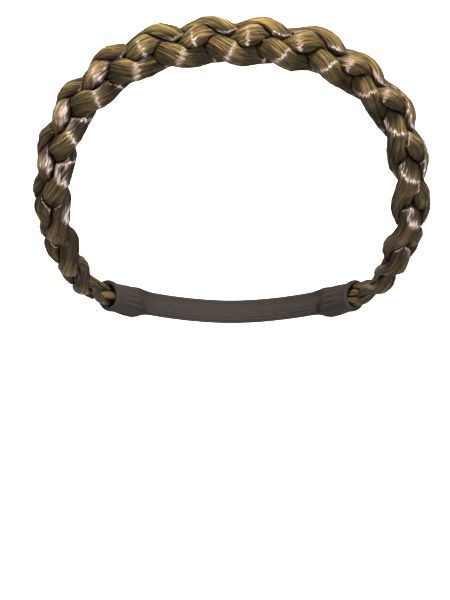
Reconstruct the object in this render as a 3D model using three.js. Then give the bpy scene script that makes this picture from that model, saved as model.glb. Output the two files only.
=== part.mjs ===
// A headband hairpiece: four thick strands of synthetic hair in a plump half-round plait, worn as an arch
// over the head from behind one ear to behind the other, and closed at the nape by an elastic band whose
// ends are cups over the ends of the plait.
// Millimetres, +Z up. The wearer faces -Y, the wearer's left is +X, and the origin is where the plait
// rests on the crown of the head.

import * as THREE from 'three';

// The head that the band goes round, as an ellipsoid: it only gives the way that the plait's outside faces
const HEAD_CENTRE = new THREE.Vector3(0, 73, -96.4);
const HEAD_HALF = new THREE.Vector3(76, 95, 108);

// The line along the middle of the band on the wearer's left side, from the crown to the nape
const MIDDLE_LINE = [
  { at: 'crown', side: 0, back: -3.9, up: 3.9 },
  { at: 'front corner', side: 34.5, back: -1.5, up: -0.4 },
  { at: 'over the temple', side: 48.9, back: 2, up: -6.6 },
  { at: 'temple', side: 67.3, back: 9.5, up: -21.9 },
  { at: 'below the temple', side: 77, back: 18.5, up: -41.6 },
  { at: 'widest', side: 80.2, back: 32, up: -65.4 },
  { at: 'before the ear', side: 77.4, back: 47, up: -81.7 },
  { at: 'over the ear', side: 74.2, back: 59, up: -90.4 },
  { at: 'behind the ear', side: 67, back: 87, up: -103.4 },
  { at: 'under the occiput', side: 40, back: 119, up: -112.4 },
  { at: 'nape', side: 0, back: 133, up: -116.4 },
];
const MIDDLE_DIVISIONS = 800;

// The plait: each strand goes to and fro between the plait's two edges, over one strand and under the next
const STRANDS = [
  { name: 'strand_a', start: 0, colour: 0x6f5327 },
  { name: 'strand_b', start: 0.25, colour: 0x745829 },
  { name: 'strand_c', start: 0.5, colour: 0x6a4f25 },
  { name: 'strand_d', start: 0.75, colour: 0x70562b },
];
const HAIR_ROUGHNESS = 0.45;
const PLAIT_LENGTH = 450;
const REPEAT = 91.5; // length in which a strand goes to the other edge and back
const FIRST_TURN = -7.1; // where strand_a turns at the rear edge
const MIDDLE_ROW = THREE.MathUtils.degToRad(112); // where the middle row of lobes lies, from the rear up
const SWAY = THREE.MathUtils.degToRad(46); // and how far round from it the edges lie
const ARC_RADIUS = 7.5; // the strands' middles lie about an arc
const ARC_DEPTH = 3; // whose centre is so far below the plait's middle
const LIFT = 2.8; // how far a strand goes out or in where it crosses another
const EVENNESS = 0.1; // brings the lift at the three rows to the same height
const REAR_FILL = 0.45; // how far the hollows between the rear edge's lobes are filled
const HALF_WIDE = 5.6; // a strand's half size round the plait
const HALF_THICK = 4; // and from the inside out
const STRAND_GAP = 0.9;
const CROWDING = 6; // how squarely two strands press against each other
const TAPER_LENGTH = 80;
const END_SCALE = 0.48;
const STEPS_PER_REPEAT = 44;
const STRAND_SIDES = 6;

// The elastic band: its cups are ovals that lean as the plait does, and its strap is flat
const CUP_HALF_WIDE = 6.8; // the inside of a cup
const CUP_HALF_HIGH = 4.8;
const CUP_RISE = 1.7; // how far the cup's middle lies out from the middle line
const CUP_LEAN = MIDDLE_ROW - Math.PI / 2;
const CUP_DEPTH = 14;
const CUP_CLEARANCE = 0.5; // between the plait's end and the floor
const CUP_WALL = 1.2;
const CUP_FLOOR = 3;
const STRAP_START = 26; // where the strap has its own width, from the cup's rim
const STRAP_HALF_WIDE = 6;
const STRAP_HALF_THICK = 1.2;
const BAND_STEPS = 36;
const BAND_SIDES = 16;
const BAND_COLOUR = 0x2b2118;
const BAND_ROUGHNESS = 0.85;

const halfPlait = PLAIT_LENGTH / 2;

const linePoint = (row, side) => new THREE.Vector3(side * row.side, row.back, row.up);
const leftPoints = MIDDLE_LINE.map((row) => linePoint(row, 1));
const rightPoints = MIDDLE_LINE.slice(1, -1).map((row) => linePoint(row, -1)).reverse();
const middleLine = new THREE.CatmullRomCurve3([...leftPoints, ...rightPoints], true, 'centripetal');
middleLine.arcLengthDivisions = MIDDLE_DIVISIONS;
const loopLength = middleLine.getLength();

// Lengths along the band run from the wearer's left over the crown, which is 0, to the wearer's right
function frameAt(along) {
  const share = THREE.MathUtils.euclideanModulo(-along / loopLength, 1);
  const origin = middleLine.getPointAt(share);
  const forward = middleLine.getTangentAt(share).negate();
  const out = origin.clone().sub(HEAD_CENTRE).divide(HEAD_HALF).divide(HEAD_HALF);
  out.addScaledVector(forward, -out.dot(forward)).normalize();
  const rear = new THREE.Vector3().crossVectors(forward, out);
  return { origin, out, rear };
}

const placeRing = (along, ring) => {
  const { origin, out, rear } = frameAt(along);
  return ring.map((p) => origin.clone().addScaledVector(rear, p.x).addScaledVector(out, p.y));
};

function fullness(along) {
  const fromEnd = halfPlait - Math.abs(along);
  return THREE.MathUtils.lerp(END_SCALE, 1, THREE.MathUtils.smoothstep(fromEnd, 0, TAPER_LENGTH));
}

const direction = (angle) => new THREE.Vector2(Math.cos(angle), Math.sin(angle));

// One strand where the section plane cuts it: its middle, its own directions, its half sizes and its gap
function strandAt(strand, along) {
  const size = fullness(along);
  const phase = 2 * Math.PI * ((along - FIRST_TURN) / REPEAT + strand.start);
  const even = -(Math.sin(3 * phase) + EVENNESS * Math.sin(phase)) / (1 - EVENNESS);
  const over = THREE.MathUtils.lerp(even, 1, REAR_FILL * Math.max(0, Math.cos(phase)));
  const outward = direction(MIDDLE_ROW - SWAY * Math.cos(phase));
  const round = new THREE.Vector2(-outward.y, outward.x);
  const middle = outward.clone().multiplyScalar(size * (ARC_RADIUS + LIFT * over));
  middle.addScaledVector(direction(MIDDLE_ROW), -size * ARC_DEPTH);
  const [wide, thick, gap] = [HALF_WIDE, HALF_THICK, STRAND_GAP].map((length) => size * length);
  return { middle, outward, round, wide, thick, gap };
}

// A step measured in the strand's half widths and half thicknesses, as a direction to compare with
const inStrandSizes = (strand, step) =>
  strand.round
    .clone()
    .multiplyScalar(strand.round.dot(step) / strand.wide ** 2)
    .addScaledVector(strand.outward, strand.outward.dot(step) / strand.thick ** 2);

// The strand's section: an oval that gives way where the other strands press against it
function strandRing(own, others) {
  return Array.from({ length: STRAND_SIDES }, (_, m) => {
    const turn = (2 * Math.PI * m) / STRAND_SIDES;
    const reach = own.outward
      .clone()
      .multiplyScalar(own.thick * Math.cos(turn))
      .addScaledVector(own.round, own.wide * Math.sin(turn));
    let pressure = 1;
    for (const other of others) {
      const step = other.middle.clone().sub(own.middle);
      const across = inStrandSizes(own, step).add(inStrandSizes(other, step)).multiplyScalar(0.5);
      const limit = across.dot(step) / 2 - (own.gap / 2) * across.length();
      pressure += Math.max(0, across.dot(reach) / limit) ** CROWDING;
    }
    return reach.multiplyScalar(pressure ** (-1 / CROWDING)).add(own.middle);
  });
}

// A solid through a row of rings, each patch folded along its shorter diagonal, closed flat at both ends
function loft(rings) {
  const count = rings[0].length;
  const points = rings.flat();
  const faces = [];
  for (let i = 0; i + 1 < rings.length; i++) {
    for (let m = 0; m < count; m++) {
      const a = i * count + m;
      const b = i * count + ((m + 1) % count);
      const c = b + count;
      const d = a + count;
      if (points[a].distanceTo(points[c]) < points[b].distanceTo(points[d])) faces.push(a, c, b, a, d, c);
      else faces.push(a, d, b, b, d, c);
    }
  }
  const last = (rings.length - 1) * count;
  for (let m = 1; m + 1 < count; m++) {
    faces.push(0, m, m + 1);
    faces.push(last, last + m + 1, last + m);
  }
  const geometry = new THREE.BufferGeometry().setFromPoints(points);
  geometry.setIndex(faces);
  return geometry;
}

function plaitStrands() {
  const steps = Math.round((PLAIT_LENGTH / REPEAT) * STEPS_PER_REPEAT);
  const rows = STRANDS.map(() => []);
  for (let i = 0; i <= steps; i++) {
    const along = PLAIT_LENGTH * (i / steps - 0.5);
    const sections = STRANDS.map((strand) => strandAt(strand, along));
    sections.forEach((own, k) => {
      const others = sections.filter((other) => other !== own);
      rows[k].push(placeRing(along, strandRing(own, others)));
    });
  }
  return rows.map((rings) => loft(rings));
}

// An oval whose width leans from the rear towards the outside, and whose middle lies out by the rise
function ovalRing(halfWide, halfHigh, rise, lean) {
  const wide = direction(lean);
  const high = direction(lean + Math.PI / 2);
  return Array.from({ length: BAND_SIDES }, (_, m) => {
    const turn = (2 * Math.PI * m) / BAND_SIDES;
    const point = wide.clone().multiplyScalar(halfWide * Math.cos(turn));
    return point.addScaledVector(high, rise + halfHigh * Math.sin(turn));
  });
}

// The inside of a cup, from its floor to its rim, at the end that `place` puts it
const cupRings = (place) =>
  [-CUP_CLEARANCE, CUP_DEPTH / 2, CUP_DEPTH].map((depth) =>
    placeRing(place(halfPlait - depth), ovalRing(CUP_HALF_WIDE, CUP_HALF_HIGH, CUP_RISE, CUP_LEAN))
  );

// From the floor of one cup out over its rim, along the strap round the nape, and into the other cup
function elasticBand() {
  const firstRim = halfPlait - CUP_DEPTH;
  const lastRim = loopLength - firstRim;
  const rings = cupRings((along) => along);
  for (let i = 0; i <= BAND_STEPS; i++) {
    const along = THREE.MathUtils.lerp(firstRim, lastRim, i / BAND_STEPS);
    const fromRim = Math.min(along - firstRim, lastRim - along);
    const narrowed = THREE.MathUtils.smoothstep(fromRim, CUP_DEPTH + CUP_FLOOR, STRAP_START);
    const halfWide = THREE.MathUtils.lerp(CUP_HALF_WIDE + CUP_WALL, STRAP_HALF_WIDE, narrowed);
    const halfHigh = THREE.MathUtils.lerp(CUP_HALF_HIGH + CUP_WALL, STRAP_HALF_THICK, narrowed);
    const level = 1 - narrowed;
    rings.push(placeRing(along, ovalRing(halfWide, halfHigh, level * CUP_RISE, level * CUP_LEAN)));
  }
  rings.push(...cupRings((along) => loopLength - along).reverse());
  return loft(rings);
}

function addPiece(group, name, geometry, colour, roughness) {
  const material = new THREE.MeshStandardMaterial({ color: colour, roughness, metalness: 0 });
  const mesh = new THREE.Mesh(geometry, material);
  mesh.name = name;
  group.add(mesh);
}

const part = new THREE.Group();
plaitStrands().forEach((geometry, k) =>
  addPiece(part, STRANDS[k].name, geometry, STRANDS[k].colour, HAIR_ROUGHNESS)
);
addPiece(part, 'elastic_band', elasticBand(), BAND_COLOUR, BAND_ROUGHNESS);

export default part;
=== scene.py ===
# The looks of the headband hairpiece: four plaited strands of glossy synthetic hair with loose fibres,
# and the woven elastic band that closes the loop. Sizes are in millimetres, and MM turns them into metres.
import math

import bpy
import numpy as np
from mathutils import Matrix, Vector


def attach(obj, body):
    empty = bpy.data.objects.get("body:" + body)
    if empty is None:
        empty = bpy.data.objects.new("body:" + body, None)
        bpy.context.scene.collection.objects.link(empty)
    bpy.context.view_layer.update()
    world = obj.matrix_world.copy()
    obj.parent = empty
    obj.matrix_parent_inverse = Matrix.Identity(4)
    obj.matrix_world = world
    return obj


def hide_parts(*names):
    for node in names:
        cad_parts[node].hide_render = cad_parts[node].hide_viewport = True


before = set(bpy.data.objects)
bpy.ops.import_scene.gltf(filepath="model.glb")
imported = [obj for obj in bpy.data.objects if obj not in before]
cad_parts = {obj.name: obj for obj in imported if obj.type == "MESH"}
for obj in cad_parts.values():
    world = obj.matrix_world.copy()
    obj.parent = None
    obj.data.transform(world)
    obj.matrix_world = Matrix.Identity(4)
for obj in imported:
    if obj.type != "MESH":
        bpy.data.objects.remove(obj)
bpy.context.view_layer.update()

MM = 0.001

# The head that the band goes round, as an ellipsoid: it gives the way that the plait's outside faces
HEAD_CENTRE = np.array([0.0, 73.0, -96.4])
HEAD_HALF = np.array([76.0, 95.0, 108.0])

# The middle line of the band on the wearer's left side, from the crown to the nape: side, back, up
MIDDLE_LINE = {
    "crown": (0, -3.9, 3.9),
    "front corner": (34.5, -1.5, -0.4),
    "over the temple": (48.9, 2, -6.6),
    "temple": (67.3, 9.5, -21.9),
    "below the temple": (77, 18.5, -41.6),
    "widest": (80.2, 32, -65.4),
    "before the ear": (77.4, 47, -81.7),
    "over the ear": (74.2, 59, -90.4),
    "behind the ear": (67, 87, -103.4),
    "under the occiput": (40, 119, -112.4),
    "nape": (0, 133, -116.4),
}
LINE_STEPS = 60  # points between two places on the line

# The plait, with the part's values but for a smaller gap, and where in the repeat each strand starts
STRANDS = {"strand_a": 0.0, "strand_b": 0.25, "strand_c": 0.5, "strand_d": 0.75}
PLAIT_LENGTH = 450
REPEAT = 91.5
FIRST_TURN = -7.1
MIDDLE_ROW = math.radians(112)
SWAY = math.radians(46)
ARC_RADIUS = 7.5
ARC_DEPTH = 3
LIFT = 2.8
EVENNESS = 0.1
REAR_FILL = 0.45
HALF_WIDE = 5.6
HALF_THICK = 4
STRAND_GAP = 0.35
CROWDING = 6
TAPER_LENGTH = 80
END_SCALE = 0.48

# Seeds of the random draws, each with the strand's number added to it
PLAITING_SEED = 100
LOCKS_SEED = 200
ROLL_SEED = 300
FIBRES_SEED = 400

# Random curves along the plait: their waves, a wave's least height, and the share of the sum that is 1
CURVE_WAVES = 4
CURVE_LEAST = 0.5
CURVE_PEAK = 0.7

# How uneven the plaiting is: the sway in turns, the size as a share, and the longest and shortest wave
LOOSE_SWAY = 0.012
LOOSE_SIZE = 0.1
LOOSE_LENGTHS = (170, 30)

# The strands' surface: steps along the plait, points round a strand, and what the combed locks do to it
ALONG_STEPS = 820
ROUND_POINTS = 108
OUTLINE_POINTS = 2001  # on the oval along which the points round a strand are spaced evenly
LOCKS = 9
LOCK_JITTER = 0.3  # how far a lock's edge lies from its even place, in lock widths
LOCK_SWELL = 0.5
LOCK_SQUARENESS = 4
LOCK_STEADY = 0.75  # share of the swell that stays the same along a lock
LOCK_LENGTHS = (60, 14)
STREAK_SWELL = 0.2
STREAK_BLUR = 0.4  # share of a streak that is taken from the one beside it
STREAK_WAVE = 0.24
STREAK_LENGTHS = (22, 5)
ROLL = 0.035  # how far a strand's locks wander round it, in turns
ROLL_LENGTHS = (220, 60)
TWIST = -0.009  # and how far the hair is twisted in its strand, in turns a millimetre

# Painted shade: the hair's colour is darkened in the plait's hollows, and where the strands press against
# each other
HOLLOW_START = 0.3  # depth below the plait's outside where it begins
HOLLOW_END = 3.8  # and where it is deepest
HOLLOW_SHADE = 0.75
SQUEEZE_SHADE = 2.2  # for the share of its size by which a strand gives way

# The layout of the long surfaces for baking, in rows one above the other
BAKE_ROWS = 4
BAKE_END_MARGIN = 0.01
BAKE_SIDE_MARGIN = 0.02

# Loose fibres on each strand: long strays that bow off it, and short fuzz whose tips stand off it
LOOSE_FIBRES = [
    dict(count=130, steps=22, shortest=20, longest=55, bow=1.2, tip=0.0),
    dict(count=400, steps=9, shortest=6, longest=20, bow=0.4, tip=1.2),
]
LEAST_BOW = 0.15  # as a share of the highest
FIBRE_DRIFT = 0.05  # how far a fibre goes round the strand, in turns
FIBRE_ROOT = 0.3  # how deep its root lies
FIBRE_MARGIN = 20  # length at each end of the plait that has none
FIBRE_HALF = 0.06
FIBRE_TAPER = 0.7
FIBRE_SIDES = 3
FIBRE_TURN = np.array([0.31, 0.52, 0.79])  # a direction that no fibre follows, to turn its section by

# The hair's colours, picked by patterns along the fibres: gold is mixed with tints, and the rest multiply
# it, the last of them being painted shade
HAIR_PATTERNS = {  # how far each one is drawn out along the fibres, its scale and its detail
    "locks": (0.12, 0.28, 2),
    "tints": (0.05, 0.6, 2),
    "wisps": (0.025, 1.3, 2),
    "fibres": (0.02, 4.5, 3),
}
GOLDEN_STOPS = [(0.3, (0.06, 0.045, 0.018)), (0.52, (0.155, 0.112, 0.036)), (0.72, (0.31, 0.22, 0.08))]
TINT_STOPS = [(0.38, (0.082, 0.088, 0.024)), (0.5, (0.14, 0.104, 0.036)), (0.62, (0.19, 0.085, 0.045))]
TINT_SHARE = 0.5
FIBRE_STOPS = [(0.3, (0.3, 0.31, 0.33)), (0.5, (1.0, 1.0, 1.0)), (0.7, (2.0, 1.75, 1.5))]
WISP_STOPS = [(0.34, (0.28, 0.28, 0.32)), (0.5, (0.95, 0.95, 0.95)), (0.66, (1.7, 1.6, 1.5))]
# Painted shade in the hollows and squeezed places, which multiplies the hair's colour
PAINTED_SHADE_STOPS = [(0.0, (1, 1, 1)), (0.4, (0.5, 0.5, 0.57)), (1.0, (0.38, 0.38, 0.45))]

# The hair's gloss, which runs in bands across the fibres
HAIR_ROUGHNESS = (0.32, 0.44)
HAIR_BUMP = 0.5
HAIR_BUMP_DEPTH = 0.25
GLOSS_ACROSS = 0.25  # a quarter turn of the stretched highlight
GLOSS_LEVEL = 0.8
GLOSS_TINT = (1.0, 0.77, 0.68, 1)

# The elastic band, with the part's values, and its hem, gathers and ribs
CUP_HALF_WIDE = 6.8
CUP_HALF_HIGH = 4.8
CUP_RISE = 1.7
CUP_LEAN = MIDDLE_ROW - math.pi / 2
CUP_DEPTH = 14
CUP_CLEARANCE = 0.5
CUP_WALL = 1.2
CUP_FLOOR = 3
STRAP_START = 26
STRAP_HALF_WIDE = 6
STRAP_HALF_THICK = 1.2
STRAP_SQUARENESS = 5
BAND_POINTS = 128
BAND_STEP = 0.9
INSIDE_STEPS = 16
HEM = 3.6
HEM_RISE = 0.5
HEM_FLAT = 0.8  # share of the hem before it falls to the cup
HEM_EDGE = (-0.5, 1.2)  # where it rises at the rim
GATHERS = 15
GATHER_DEPTH = 0.45
GATHER_SWAY = 0.8  # how uneven the gathers' spacing is
GATHER_SWAYS = 3  # and how often that changes round the cup
GATHER_FADE = 4  # how far before and behind the strap's start they fade
RIB_PITCH = 1.5
RIB_DEPTH = 0.22

# The elastic's weave and its colours
THREADS_ACROSS = 0.5
THREADS_ALONG = 0.42
THREAD_WOBBLE = 0.6
THREAD_STOPS = [(0.0, (0.014, 0.009, 0.006)), (0.6, (0.036, 0.023, 0.014)), (1.0, (0.062, 0.042, 0.027))]
THREAD_BUMP = 0.6
THREAD_BUMP_DEPTH = 0.3
WEAR_SCALE = 0.35
WEAR_DETAIL = 4
WEAR_STOPS = [(0.3, (0.75, 0.75, 0.75)), (0.7, (1.25, 1.2, 1.15))]
ELASTIC_ROUGHNESS = (0.72, 0.92)

# The photograph's frame
IMAGE_HEIGHT = 600
PIXEL = 0.462  # size of a pixel at the camera's target
CAMERA_TARGET = (-3.2, 31, -110.4)
CAMERA_DISTANCE = 1000
SENSOR = 36

# The studio, in metres: a floor that curves up into a back wall, and the lights with their spread in degrees
FLOOR = -0.6
FLOOR_FRONT = -0.8
WALL = 1.7
WALL_TOP = 1.0
SWEEP = 0.6
SWEEP_POINTS = 13
STAGE_HALF_WIDE = 1.3
PAPER_COLOUR = (0.9, 0.9, 0.9, 1)
PAPER_ROUGHNESS = 0.9
AMBIENT = 0.41
LIGHTS = [
    dict(name="key", place=(0.03, -0.25, 0.75), target=(0, 0.03, -0.05), size=0.2, power=2.7, spread=60),
    dict(name="front", place=(0.2, -0.9, -0.12), target=(0, 0.03, -0.06), size=0.05, power=1.2, spread=40),
    dict(name="wall_wash", place=(0, 0.75, 0.9), target=(0, WALL, -0.1), size=1.0, power=22, spread=75),
]

half_plait = PLAIT_LENGTH / 2
arc_reach = ARC_RADIUS + LIFT + HALF_THICK
arc_centre = (-ARC_DEPTH * math.cos(MIDDLE_ROW), -ARC_DEPTH * math.sin(MIDDLE_ROW))
first_rim = half_plait - CUP_DEPTH


def unit(v):
    return v / np.linalg.norm(v, axis=-1, keepdims=True)


def blend(a, b, share):
    return a + (b - a) * share


def smoothstep(x, low, high):
    x = np.clip((x - low) / (high - low), 0, 1)
    return x * x * (3 - 2 * x)


def loop_points():
    """The closed middle line as a fine row of points."""
    left = [np.array(p, float) for p in MIDDLE_LINE.values()]
    right = [p * (-1, 1, 1) for p in left[-2:0:-1]]
    knots = left + right
    count = len(knots)
    t = np.arange(LINE_STEPS)[:, None] / LINE_STEPS
    points = []
    for i in range(count):
        a, b, c, d = (knots[(i + k) % count] for k in (-1, 0, 1, 2))
        ab, bc, cd = (np.linalg.norm(q - p) ** 0.5 for p, q in ((a, b), (b, c), (c, d)))
        leave = ((b - a) / ab - (c - a) / (ab + bc) + (c - b) / bc) * bc
        arrive = ((c - b) / bc - (d - b) / (bc + cd) + (d - c) / cd) * bc
        points.append(
            (2 * t**3 - 3 * t**2 + 1) * b
            + (t**3 - 2 * t**2 + t) * leave
            + (3 * t**2 - 2 * t**3) * c
            + (t**3 - t**2) * arrive
        )
    return np.concatenate(points)


line = loop_points()
line = np.concatenate([line, line[:1]])
line_place = np.concatenate([[0], np.cumsum(np.linalg.norm(np.diff(line, axis=0), axis=1))])
loop_length = line_place[-1]
line_ahead = unit(np.roll(line[:-1], -1, axis=0) - np.roll(line[:-1], 1, axis=0))
line_ahead = np.concatenate([line_ahead, line_ahead[:1]])


def along_line(rows, place):
    """Rows of the middle line at places between its points."""
    return np.stack([np.interp(place, line_place, rows[:, k]) for k in range(3)], -1)


def frames_at(along):
    """Middle and outward and rearward ways of the band; along runs from the left over the crown."""
    place = np.mod(-along, loop_length)
    middle = along_line(line, place)
    ahead = unit(along_line(-line_ahead, place))
    out = (middle - HEAD_CENTRE) / HEAD_HALF**2
    out = unit(out - ahead * (out * ahead).sum(-1, keepdims=True))
    return middle, out, np.cross(ahead, out)


def place_section(along, across, outward):
    """Points of the section planes as points of the part."""
    middle, out, rear = frames_at(along)
    return middle + across[..., None] * rear + outward[..., None] * out


def fullness(along):
    return blend(END_SCALE, 1, smoothstep(half_plait - np.abs(along), 0, TAPER_LENGTH))


def wander(rng, lengths):
    """A smooth seeded curve along the plait that stays about within -1 and 1."""
    waves = np.geomspace(*lengths, CURVE_WAVES)
    starts = rng.uniform(0, 2 * math.pi, CURVE_WAVES)
    heights = rng.uniform(CURVE_LEAST, 1, CURVE_WAVES) * np.linspace(1, CURVE_LEAST, CURVE_WAVES)
    heights /= np.abs(heights).sum() * CURVE_PEAK
    return lambda s: sum(h * np.cos(2 * math.pi * s / w + p) for w, p, h in zip(waves, starts, heights))


def plaiting_curves(number):
    """A strand's own curves for its sway, its width and its thickness."""
    rng = np.random.default_rng(PLAITING_SEED + number)
    return [wander(rng, LOOSE_LENGTHS) for _ in range(3)]


unevenness = [plaiting_curves(number) for number in range(len(STRANDS))]


def strands_at(along):
    """For each strand: the middle and the outward direction in the section plane, and the half sizes."""
    size = fullness(along)
    turns = (along - FIRST_TURN) / REPEAT
    found = []
    for start, (sway_wander, wide_wander, thick_wander) in zip(STRANDS.values(), unevenness):
        phase = 2 * math.pi * (turns + start + LOOSE_SWAY * sway_wander(along))
        over = -(np.sin(3 * phase) + EVENNESS * np.sin(phase)) / (1 - EVENNESS)
        over += REAR_FILL * np.maximum(0, np.cos(phase)) * (1 - over)
        angle = MIDDLE_ROW - SWAY * np.cos(phase)
        c, s = np.cos(angle), np.sin(angle)
        reach = ARC_RADIUS + LIFT * over
        u = size * (reach * c + arc_centre[0])
        v = size * (reach * s + arc_centre[1])
        wide = size * HALF_WIDE * (1 + LOOSE_SIZE * wide_wander(along))
        thick = size * HALF_THICK * (1 + LOOSE_SIZE * thick_wander(along))
        found.append((u, v, c, s, wide, thick))
    return found


def in_strand_sizes(strand, du, dv):
    """A step measured in the strand's half sizes, as a direction."""
    _, _, c, s, wide, thick = strand
    outward = (du * c + dv * s) / thick**2
    around = (-du * s + dv * c) / wide**2
    return outward * c - around * s, outward * s + around * c


def on_strand(number, along, turn, proud):
    """Points on a strand, raised by proud, how far each is squeezed, and how deep it lies in the plait."""
    strands = strands_at(along)
    own = strands[number]
    u, v, c, s, wide, thick = own
    size = fullness(along)
    reach_out, reach_round = thick * np.cos(turn), wide * np.sin(turn)
    du, dv = reach_out * c - reach_round * s, reach_out * s + reach_round * c
    pressure = np.ones_like(du)
    for other in strands[:number] + strands[number + 1 :]:
        step = other[0] - u, other[1] - v
        one, two = in_strand_sizes(own, *step), in_strand_sizes(other, *step)
        nu, nv = (one[0] + two[0]) / 2, (one[1] + two[1]) / 2
        room = (nu * step[0] + nv * step[1]) / 2 - size * STRAND_GAP / 2 * np.hypot(nu, nv)
        pressure += np.maximum(0, (du * nu + dv * nv) / room) ** CROWDING
    reach = pressure ** (-1 / CROWDING)
    scale = reach + proud / np.hypot(du, dv)
    across, outward = u + scale * du, v + scale * dv
    from_arc = np.hypot(across / size - arc_centre[0], outward / size - arc_centre[1])
    return place_section(along, across, outward), 1 - reach, arc_reach - from_arc


def even_turns():
    """Turn angles that lie evenly along a strand's oval outline, by the share of the way round."""
    fine = np.linspace(0, 2 * math.pi, OUTLINE_POINTS)
    x, y = HALF_THICK * np.cos(fine), HALF_WIDE * np.sin(fine)
    length = np.concatenate([[0], np.cumsum(np.hypot(np.diff(x), np.diff(y)))])
    return lambda share: np.interp(np.mod(share, 1), length / length[-1], fine)


turn_at = even_turns()


def ring_faces(rings, count):
    """Four-sided faces between rings of points, each ring closed."""
    i, j = np.meshgrid(np.arange(rings - 1), np.arange(count), indexing="ij")
    a, b = i * count + j, i * count + (j + 1) % count
    return np.stack([a, a + count, b + count, b], -1).reshape(-1, 4)


def add_object(name, data):
    thing = bpy.data.objects.new(name, data)
    bpy.context.scene.collection.objects.link(thing)
    return thing


def add_mesh(name, points, faces, material, attributes):
    mesh = bpy.data.meshes.new(name)
    mesh.from_pydata((points * MM).tolist(), [], faces)
    mesh.polygons.foreach_set("use_smooth", np.ones(len(mesh.polygons), bool))
    for key, values in attributes.items():
        kind = "FLOAT_VECTOR" if values.ndim == 2 else "FLOAT"
        layer = mesh.attributes.new(key, kind, "POINT")
        layer.data.foreach_set("vector" if values.ndim == 2 else "value", values.astype(np.float32).ravel())
    mesh.materials.append(material)
    return add_object(name, mesh)


def bake_map(mesh, steps, count):
    """Lays a loft's surface out in a few long rows, with its length from left to right."""
    layer = mesh.uv_layers.new(name="OFBake")
    i, j = np.meshgrid(np.arange(steps), np.arange(count), indexing="ij")
    per_row = steps / BAKE_ROWS
    row = np.floor(i / per_row)
    corners = []
    for di, dj in ((0, 0), (1, 0), (1, 1), (0, 1)):
        x = np.clip((i + di) / per_row - row, 0, 1)
        y = row + blend(BAKE_SIDE_MARGIN, 1 - BAKE_SIDE_MARGIN, (j + dj) / count)
        corners.append(np.stack([blend(BAKE_END_MARGIN, 1 - BAKE_END_MARGIN, x), y / BAKE_ROWS], -1))
    places = np.stack(corners, 2).reshape(-1, 2)
    caps = np.full((2 * count, 2), BAKE_END_MARGIN / 2)
    layer.data.foreach_set("uv", np.concatenate([places, caps]).astype(np.float32).ravel())


def add_loft(name, points, material, attributes):
    """A closed body through rings of points, an array of rings by points round them."""
    rings, count = points.shape[:2]
    faces = ring_faces(rings, count).tolist()
    faces.append(list(range(count)))
    faces.append(list(range(rings * count - 1, (rings - 1) * count - 1, -1)))
    piece = add_mesh(name, points.reshape(-1, 3), faces, material, attributes)
    bake_map(piece.data, rings - 1, count)
    return piece


def strand_relief(number, along):
    """How far the locks and streaks stand out, for each step along the strand and each point round it."""
    rng = np.random.default_rng(LOCKS_SEED + number)
    jitter = rng.uniform(-LOCK_JITTER, LOCK_JITTER, LOCKS) / LOCKS
    edges = np.sort(np.linspace(0, 1, LOCKS, endpoint=False) + jitter)
    share = np.arange(ROUND_POINTS) / ROUND_POINTS
    lock = (np.searchsorted(edges, share, side="right") - 1) % LOCKS
    widths = np.mod(np.roll(edges, -1) - edges, 1)
    inside = np.mod(share - edges[lock], 1) / widths[lock]
    swell = 1 - (2 * inside - 1) ** LOCK_SQUARENESS
    waves = np.stack([wander(rng, LOCK_LENGTHS)(along) for _ in range(LOCKS)], -1)
    relief = LOCK_SWELL * (LOCK_STEADY + (1 - LOCK_STEADY) * waves[:, lock]) * swell
    streaks = rng.uniform(-1, 1, ROUND_POINTS)
    streaks = blend(streaks, np.roll(streaks, 1), STREAK_BLUR)
    streak_waves = np.stack([wander(rng, STREAK_LENGTHS)(along) for _ in range(ROUND_POINTS)], -1)
    streak_waves = (streak_waves + np.roll(streak_waves, 1, axis=1)) / math.sqrt(2)
    return relief + STREAK_SWELL * streaks + STREAK_WAVE * streak_waves - LOCK_SWELL


def fibre_coordinates(number, along, share):
    """Places on a strand's outline and along it, for patterns that run with the fibres."""
    angle = 2 * math.pi * share
    size = (HALF_WIDE + HALF_THICK) / 2
    return np.stack([size * np.cos(angle), size * np.sin(angle), along + 2 * PLAIT_LENGTH * number], -1)


def add_strand(number, name, material):
    along = np.linspace(-half_plait, half_plait, ALONG_STEPS + 1)
    own_share = np.arange(ROUND_POINTS) / ROUND_POINTS
    roll = wander(np.random.default_rng(ROLL_SEED + number), ROLL_LENGTHS)
    share = own_share + (ROLL * roll(along) + TWIST * along)[:, None]
    where = np.repeat(along[:, None], ROUND_POINTS, 1)
    relief = fullness(along)[:, None] * strand_relief(number, along)
    points, squeezed, depth = on_strand(number, where, turn_at(share), relief)
    # Painted shade: darker hair in the plait's hollows and where the strand is squeezed by the others
    painted_hollow_shade = HOLLOW_SHADE * smoothstep(depth, HOLLOW_START, HOLLOW_END)
    painted_shade = np.clip(np.maximum(SQUEEZE_SHADE * squeezed, painted_hollow_shade), 0, 1)
    fibre = fibre_coordinates(number, where, np.broadcast_to(own_share, where.shape))
    attributes = {"painted_shade": painted_shade.ravel(), "fibre": fibre.reshape(-1, 3)}
    return add_loft(name + "_hair", points, material, attributes)


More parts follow.
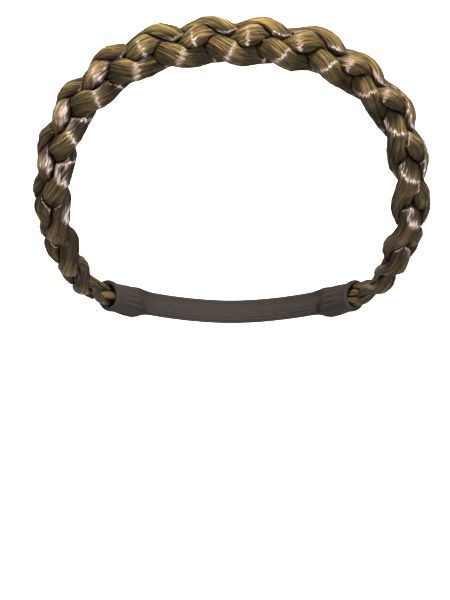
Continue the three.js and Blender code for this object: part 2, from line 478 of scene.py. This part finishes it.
def fibre_tubes(paths, halves):
    """Thin tubes along rows of points: their points, the faces round them and the faces that close them."""
    fibres, steps = paths.shape[:2]
    ahead = unit(np.gradient(paths, axis=1))
    side = unit(np.cross(ahead, unit(FIBRE_TURN)))
    other = np.cross(ahead, side)
    angle = 2 * math.pi * np.arange(FIBRE_SIDES) / FIBRE_SIDES
    ways = np.cos(angle)[:, None] * side[:, :, None] + np.sin(angle)[:, None] * other[:, :, None]
    rings = paths[:, :, None] + halves[..., None, None] * ways
    first = (np.arange(fibres) * steps * FIBRE_SIDES)[:, None]
    walls = ring_faces(steps, FIBRE_SIDES)[:, ::-1] + first[..., None]
    ring = np.arange(FIBRE_SIDES)
    ends = np.concatenate([first + ring[::-1], first + ring + (steps - 1) * FIBRE_SIDES])
    return rings.reshape(-1, 3), walls.reshape(-1, 4), ends


def loose_paths(rng, number, count, steps, shortest, longest, bow, tip):
    """Fibres over a strand, from root to tip: places along it and round it, points and half thicknesses."""
    t = np.linspace(0, 1, steps)
    length = rng.uniform(shortest, longest, (count, 1))
    start = rng.uniform(-half_plait + FIBRE_MARGIN, half_plait - FIBRE_MARGIN - length, (count, 1))
    share = rng.uniform(0, 1, (count, 1)) + rng.uniform(-FIBRE_DRIFT, FIBRE_DRIFT, (count, 1)) * t
    bowed = rng.uniform(LEAST_BOW, 1, (count, 1)) * bow * np.sin(math.pi * t)
    raised = rng.uniform(0, 1, (count, 1)) ** 2 * tip * t**2
    proud = bowed + raised - FIBRE_ROOT * (1 - t) ** 4
    along = start + length * t
    paths, _, _ = on_strand(number, along, turn_at(share), fullness(along) * proud)
    halves = FIBRE_HALF * (1 - FIBRE_TAPER * t**3) * np.ones((count, 1))
    return along, share, paths, halves


def add_fibres(number, name, material):
    rng = np.random.default_rng(FIBRES_SEED + number)
    points, faces, coordinates = [], [], []
    point_count = 0
    for kind in LOOSE_FIBRES:
        along, share, paths, halves = loose_paths(rng, number, **kind)
        tube_points, walls, ends = fibre_tubes(paths, halves)
        points.append(tube_points)
        faces += (walls + point_count).tolist() + (ends + point_count).tolist()
        point_count += len(tube_points)
        where = fibre_coordinates(number, along, share)
        coordinates.append(np.repeat(where.reshape(-1, 3), FIBRE_SIDES, 0))
    # The loose fibres get no painted shade
    attributes = {"fibre": np.concatenate(coordinates), "painted_shade": np.zeros(point_count)}
    return add_mesh(name + "_loose_fibres", np.concatenate(points), faces, material, attributes)


def leaning(wide, high, lean):
    """An oval's width and height in the section plane, where they lean from the rear towards the outside."""
    return wide * np.cos(lean) - high * np.sin(lean), wide * np.sin(lean) + high * np.cos(lean)


def signed_power(values, power):
    return np.sign(values) * np.abs(values) ** power


def elastic_outside(along, turn):
    """The cups with hems and gathers, and the ribbed strap between them, in the section planes."""
    from_rim = np.minimum(along - first_rim, loop_length - first_rim - along)[:, None]
    narrowed = smoothstep(from_rim, CUP_DEPTH + CUP_FLOOR, STRAP_START)
    level = 1 - narrowed
    power = 2 / blend(2, STRAP_SQUARENESS, narrowed)
    hem = HEM_RISE * (1 - smoothstep(from_rim, HEM * HEM_FLAT, HEM)) * smoothstep(from_rim, *HEM_EDGE)
    faded = smoothstep(from_rim, STRAP_START - GATHER_FADE, STRAP_START + GATHER_FADE)
    drawn = smoothstep(from_rim, HEM, CUP_DEPTH) * (1 - faded)
    gather = GATHER_DEPTH * drawn * np.sin(GATHERS * turn + GATHER_SWAY * np.sin(GATHER_SWAYS * turn))
    raised = hem + gather
    half_wide = blend(CUP_HALF_WIDE + CUP_WALL, STRAP_HALF_WIDE, narrowed) + raised
    wide = half_wide * signed_power(np.cos(turn), power)
    ribs = RIB_DEPTH * narrowed * np.cos(2 * math.pi * wide / RIB_PITCH)
    half_high = blend(CUP_HALF_HIGH + CUP_WALL, STRAP_HALF_THICK, narrowed) + raised + ribs
    high = half_high * signed_power(np.sin(turn), power)
    return leaning(wide, high + level * CUP_RISE, level * CUP_LEAN)


def add_elastic(material):
    """The elastic band as one loft that turns in at both rims."""
    turn = 2 * math.pi * np.arange(BAND_POINTS) / BAND_POINTS
    last_rim = loop_length - first_rim
    inside = np.linspace(half_plait + CUP_CLEARANCE, first_rim, INSIDE_STEPS)
    outside = np.linspace(first_rim, last_rim, round((last_rim - first_rim) / BAND_STEP))
    along = np.concatenate([inside, outside, loop_length - inside[::-1]])
    along = np.repeat(along[:, None], BAND_POINTS, 1)
    bore = leaning(CUP_HALF_WIDE * np.cos(turn), CUP_HALF_HIGH * np.sin(turn) + CUP_RISE, CUP_LEAN)
    cups = [np.tile(row, (INSIDE_STEPS, 1)) for row in bore]
    strap = elastic_outside(outside, turn)
    across, outward = (np.concatenate([cup, middle, cup]) for cup, middle in zip(cups, strap))
    steps = np.linalg.norm(np.diff(np.stack([across, outward], -1), axis=1, append=0), axis=-1)
    round_place = np.cumsum(steps, 1) - steps
    weave = np.stack([round_place, along, np.zeros_like(along)], -1)
    points = place_section(along, across, outward)
    return add_loft("elastic_cloth", points, material, {"weave": weave.reshape(-1, 3)})


def new_material(name):
    material = bpy.data.materials.new(name)
    material.use_nodes = True
    tree = material.node_tree
    return material, tree, tree.nodes["Principled BSDF"]


def add_node(tree, kind, inputs, **settings):
    node = tree.nodes.new(kind)
    for key, value in settings.items():
        setattr(node, key, value)
    for key, value in inputs.items():
        if isinstance(value, bpy.types.NodeSocket):
            tree.links.new(value, node.inputs[key])
        else:
            node.inputs[key].default_value = value
    return node


def attribute(tree, name):
    return add_node(tree, "ShaderNodeAttribute", {}, attribute_name=name)


def ramp(tree, fac, stops):
    node = add_node(tree, "ShaderNodeValToRGB", {"Fac": fac})
    elements = node.color_ramp.elements
    while len(elements) < len(stops):
        elements.new(0.5)
    for element, (place, colour) in zip(elements, stops):
        element.position = place
        element.color = (*colour, 1)
    return node.outputs["Color"]


def noise(tree, vector, scale, detail):
    inputs = {"Vector": vector, "Scale": scale, "Detail": detail}
    return add_node(tree, "ShaderNodeTexNoise", inputs).outputs["Fac"]


def fibre_noise(tree, fibre, drawn_out, scale, detail):
    vector = add_node(tree, "ShaderNodeVectorMath", {0: fibre, 1: (1, 1, drawn_out)}, operation="MULTIPLY")
    return noise(tree, vector.outputs[0], scale, detail)


def bands(tree, vector, direction, scale, distortion):
    inputs = {"Vector": vector, "Scale": scale, "Distortion": distortion}
    return add_node(
        tree, "ShaderNodeTexWave", inputs, wave_type="BANDS", bands_direction=direction
    ).outputs["Fac"]


def mix(tree, fac, a, b, blend_type):
    """A mix of two colours; 0, 6 and 7 are the node's sockets for the share and the colours."""
    inputs = {0: fac, 6: a, 7: b}
    return add_node(tree, "ShaderNodeMix", inputs, data_type="RGBA", blend_type=blend_type).outputs[2]


def surface(tree, shader, colour, fac, roughness, height, strength, depth):
    """Links a colour, a roughness between two values by fac, and a bump to a shader."""
    tree.links.new(colour, shader.inputs["Base Color"])
    low, high = roughness
    rough = add_node(tree, "ShaderNodeMapRange", {"Value": fac, "To Min": low, "To Max": high})
    tree.links.new(rough.outputs["Result"], shader.inputs["Roughness"])
    bump = add_node(tree, "ShaderNodeBump", {"Height": height, "Strength": strength, "Distance": depth * MM})
    tree.links.new(bump.outputs["Normal"], shader.inputs["Normal"])


def hair_material():
    material, tree, shader = new_material("synthetic_hair")
    fibre = attribute(tree, "fibre").outputs["Vector"]
    painted_shade = attribute(tree, "painted_shade").outputs["Fac"]
    locks, tints, wisps, fibres = (
        fibre_noise(tree, fibre, *pattern) for pattern in HAIR_PATTERNS.values()
    )
    colour = mix(tree, TINT_SHARE, ramp(tree, locks, GOLDEN_STOPS), ramp(tree, tints, TINT_STOPS), "MIX")
    # The fibres and wisps vary the hair's tone; the last ramp is painted shade in the hollows and squeezed
    # places
    for fac, stops in ((fibres, FIBRE_STOPS), (wisps, WISP_STOPS), (painted_shade, PAINTED_SHADE_STOPS)):
        colour = mix(tree, 1.0, colour, ramp(tree, fac, stops), "MULTIPLY")
    surface(tree, shader, colour, fibres, HAIR_ROUGHNESS, fibres, HAIR_BUMP, HAIR_BUMP_DEPTH)
    tangent = add_node(tree, "ShaderNodeTangent", {}, direction_type="UV_MAP", uv_map="OFBake")
    tree.links.new(tangent.outputs["Tangent"], shader.inputs["Tangent"])
    shader.inputs["Anisotropic"].default_value = 1.0
    shader.inputs["Anisotropic Rotation"].default_value = GLOSS_ACROSS
    shader.inputs["Specular IOR Level"].default_value = GLOSS_LEVEL
    shader.inputs["Specular Tint"].default_value = GLOSS_TINT
    return material


def elastic_material():
    material, tree, shader = new_material("woven_elastic")
    weave = attribute(tree, "weave").outputs["Vector"]
    across = bands(tree, weave, "X", THREADS_ACROSS, 0.0)
    lengthwise = bands(tree, weave, "Y", THREADS_ALONG, THREAD_WOBBLE)
    wear = noise(tree, weave, WEAR_SCALE, WEAR_DETAIL)
    threads = add_node(tree, "ShaderNodeMath", {0: across, 1: lengthwise}, operation="MULTIPLY").outputs[0]
    colour = mix(tree, 1.0, ramp(tree, threads, THREAD_STOPS), ramp(tree, wear, WEAR_STOPS), "MULTIPLY")
    surface(tree, shader, colour, wear, ELASTIC_ROUGHNESS, threads, THREAD_BUMP, THREAD_BUMP_DEPTH)
    return material


def add_camera():
    data = bpy.data.cameras.new("camera")
    data.sensor_width = SENSOR
    data.lens = SENSOR * CAMERA_DISTANCE / (IMAGE_HEIGHT * PIXEL)
    camera = add_object("camera", data)
    camera.location = [c * MM for c in CAMERA_TARGET]
    camera.location.y -= CAMERA_DISTANCE * MM
    camera.rotation_euler = (math.pi / 2, 0, 0)
    bpy.context.scene.camera = camera


def add_stage():
    """A pale floor that curves up into a back wall, and that the gloss doesn't mirror."""
    angles = np.linspace(0, math.pi / 2, SWEEP_POINTS)
    profile = [(FLOOR_FRONT, FLOOR)]
    profile += [(WALL - SWEEP + SWEEP * math.sin(a), FLOOR + SWEEP - SWEEP * math.cos(a)) for a in angles]
    profile.append((WALL, WALL_TOP))
    mesh = bpy.data.meshes.new("floor")
    points = [(side * STAGE_HALF_WIDE, y, z) for y, z in profile for side in (-1, 1)]
    faces = [(2 * i, 2 * i + 1, 2 * i + 3, 2 * i + 2) for i in range(len(profile) - 1)]
    mesh.from_pydata(points, [], faces)
    mesh.polygons.foreach_set("use_smooth", [True] * len(faces))
    paper, _, shader = new_material("paper")
    shader.inputs["Base Color"].default_value = PAPER_COLOUR
    shader.inputs["Roughness"].default_value = PAPER_ROUGHNESS
    mesh.materials.append(paper)
    floor = add_object("floor", mesh)
    floor.visible_glossy = False


def add_area_light(name, place, target, size, power, spread):
    light = bpy.data.lights.new(name, "AREA")
    light.energy = power
    light.size = size
    light.spread = math.radians(spread)
    lamp = add_object(name, light)
    lamp.location = place
    lamp.rotation_euler = (Vector(target) - Vector(place)).to_track_quat("-Z", "Y").to_euler()
    return lamp


def add_lights():
    """The key gives the light and shade, the front light gives the gloss, and the wash whitens the wall."""
    world = bpy.data.worlds.new("studio")
    world.use_nodes = True
    background = world.node_tree.nodes["Background"]
    background.inputs["Color"].default_value = (1, 1, 1, 1)
    background.inputs["Strength"].default_value = AMBIENT
    bpy.context.scene.world = world
    bpy.context.scene.view_settings.view_transform = "Standard"
    lamps = {light["name"]: add_area_light(**light) for light in LIGHTS}
    lamps["key"].visible_glossy = False
    lamps["front"].visible_diffuse = False


hair = hair_material()
for number, name in enumerate(STRANDS):
    strand = add_strand(number, name, hair)
    fibres = add_fibres(number, name, hair)
    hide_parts(name)
    for piece in (strand, fibres):
        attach(piece, "root")

elastic = add_elastic(elastic_material())
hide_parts("elastic_band")
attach(elastic, "root")

add_camera()
add_stage()
add_lights()
